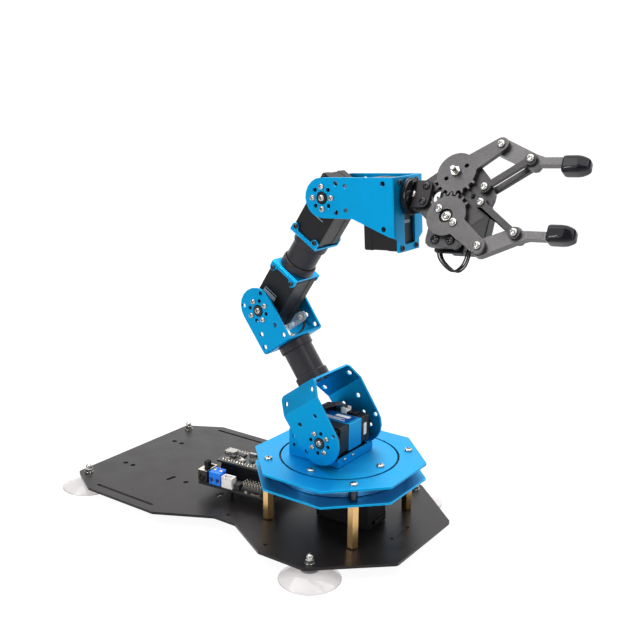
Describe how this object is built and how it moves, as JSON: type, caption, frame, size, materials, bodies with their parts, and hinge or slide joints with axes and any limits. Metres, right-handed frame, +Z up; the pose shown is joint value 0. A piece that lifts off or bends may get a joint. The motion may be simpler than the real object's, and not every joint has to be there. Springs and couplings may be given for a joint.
{
  "type": "desktop robot arm",
  "caption": "Desktop robot arm with a turntable, shoulder, elbow, wrist and roll joints and a gear-linked parallel gripper on a plate with suction feet.",
  "frame": {"origin": "turning axis of the turntable at the underside of the base plate", "axes": "+X along the base plate towards the gripper, +Z up along the turntable axis, +Y to the left of the gripper's reach"},
  "size_m": [0.3805, 0.1786, 0.2804],
  "materials": {
    "blue_anodised": "satin anodised",
    "black_anodised": "satin anodised",
    "gunmetal": "brushed satin",
    "tube_grey": "satin",
    "case_black": "fine matt",
    "horn_black": "gloss anodised",
    "brass": "machined",
    "steel": "polished",
    "clear_pvc": "clear gloss",
    "tip_rubber": "dipped gloss",
    "board": "solder mask",
    "block_blue": "gloss",
    "lead": "satin",
    "strap": "translucent"
  },
  "bodies": {
    "base": {"base_plate": "black_anodised", "suction_cup_1": "clear_pvc", "suction_cup_2": "clear_pvc", "suction_cup_3": "clear_pvc", "suction_cup_4": "clear_pvc", "brass_post_1": "brass", "brass_post_2": "brass", "brass_post_3": "brass", "brass_post_4": "brass", "turntable_lower_plate": "blue_anodised", "turntable_ring_plate": "blue_anodised", "yaw_servo": "case_black", "controller_board": "board", "stacking_header_near": "case_black", "stacking_header_far": "case_black", "processor_board": "board", "terminal_block": "block_blue", "power_switch_body": "steel"},
    "turntable": {"turntable_disc": "blue_anodised", "bearing_drum": "steel", "shoulder_cradle": "blue_anodised", "shoulder_servo": "case_black", "shoulder_servo_band": "blue_anodised"},
    "upper_arm": {"shoulder_yoke": "blue_anodised", "shoulder_horn": "horn_black", "upper_tube": "tube_grey", "upper_tube_lower_collar": "tube_grey", "upper_tube_upper_collar": "tube_grey", "elbow_yoke": "blue_anodised", "elbow_horn": "horn_black", "lead_strap": "strap", "elbow_lead": "lead"},
    "forearm": {"elbow_servo": "case_black", "elbow_cap_bracket": "blue_anodised", "forearm_tube": "tube_grey", "forearm_tube_lower_collar": "tube_grey", "forearm_tube_upper_collar": "tube_grey", "wrist_cap_bracket": "blue_anodised", "wrist_servo": "case_black"},
    "wrist": {"hand_bracket": "blue_anodised", "wrist_horn": "horn_black", "roll_servo": "case_black"},
    "hand": {"roll_horn": "horn_black", "knuckle_bracket": "gunmetal", "palm_plate": "gunmetal", "gripper_servo": "case_black", "servo_spacer_1": "gunmetal", "servo_spacer_2": "gunmetal", "gripper_lead": "lead"},
    "drive_lever": {"drive_lever": "gunmetal"},
    "idler_lever": {"idler_lever": "gunmetal"},
    "lower_link": {"lower_link": "gunmetal", "lower_rear_link": "gunmetal"},
    "upper_link": {"upper_link": "gunmetal", "upper_rear_link": "gunmetal"},
    "lower_finger": {"lower_finger": "gunmetal", "lower_tip_cap": "tip_rubber"},
    "upper_finger": {"upper_finger": "gunmetal", "upper_tip_cap": "tip_rubber"},
    "power_switch_slider": {"power_switch_slider": "case_black"}
  },
  "joints": [
    {"name": "turntable_yaw", "type": "hinge", "parent": "base", "child": "turntable", "pos_m": [0, 0, 0.0462], "axis": [0, 0, 1], "range_deg": [-120, 120]},
    {"name": "shoulder_pitch", "type": "hinge", "parent": "turntable", "child": "upper_arm", "pos_m": [0.002, 0, 0.065], "axis": [0, -1, 0], "range_deg": [-62, 54]},
    {"name": "elbow_pitch", "type": "hinge", "parent": "upper_arm", "child": "forearm", "pos_m": [-0.05711, 0, 0.14665], "axis": [0, 1, 0], "range_deg": [-155, 25]},
    {"name": "wrist_pitch", "type": "hinge", "parent": "forearm", "child": "wrist", "pos_m": [-0.00442, 0, 0.22935], "axis": [0, 1, 0], "range_deg": [-140, 45]},
    {"name": "wrist_roll", "type": "hinge", "parent": "wrist", "child": "hand", "pos_m": [-0.00442, 0, 0.22935], "axis": [0.9979, 0, 0.0645], "range_deg": [-120, 120]},
    {"name": "grip_drive", "type": "hinge", "parent": "hand", "child": "drive_lever", "pos_m": [0.08139, -0.0073, 0.22257], "axis": [0.0329, 0.8599, -0.5095], "range_deg": [-32, 20]},
    {"name": "grip_idler", "type": "hinge", "parent": "hand", "child": "idler_lever", "pos_m": [0.07981, 0.0073, 0.24712], "axis": [0.0329, 0.8599, -0.5095], "range_deg": [-20, 32]},
    {"name": "lower_link_pivot", "type": "hinge", "parent": "hand", "child": "lower_link", "pos_m": [0.10103, -0.00253, 0.2319], "axis": [0.0329, 0.8599, -0.5095], "range_deg": [-32, 20]},
    {"name": "upper_link_pivot", "type": "hinge", "parent": "hand", "child": "upper_link", "pos_m": [0.10048, 0.00253, 0.2404], "axis": [0.0329, 0.8599, -0.5095], "range_deg": [-20, 32]},
    {"name": "lower_finger_pivot", "type": "hinge", "parent": "drive_lever", "child": "lower_finger", "pos_m": [0.10715, -0.01663, 0.20849], "axis": [0.0329, 0.8599, -0.5095], "range_deg": [-20, 32]},
    {"name": "upper_finger_pivot", "type": "hinge", "parent": "idler_lever", "child": "upper_finger", "pos_m": [0.10353, 0.01663, 0.2644], "axis": [0.0329, 0.8599, -0.5095], "range_deg": [-32, 20]},
    {"name": "power_switch_slide", "type": "slide", "parent": "base", "child": "power_switch_slider", "axis": [-0.0941, 0.9956, 0], "range_m": [0, 0.0038]}
  ],
  "couplings": [
    {"joint": "grip_idler", "follows": "grip_drive", "ratio": -1},
    {"joint": "lower_link_pivot", "follows": "grip_drive", "ratio": 1},
    {"joint": "upper_link_pivot", "follows": "grip_drive", "ratio": -1},
    {"joint": "lower_finger_pivot", "follows": "grip_drive", "ratio": -1},
    {"joint": "upper_finger_pivot", "follows": "grip_drive", "ratio": 1}
  ]
}
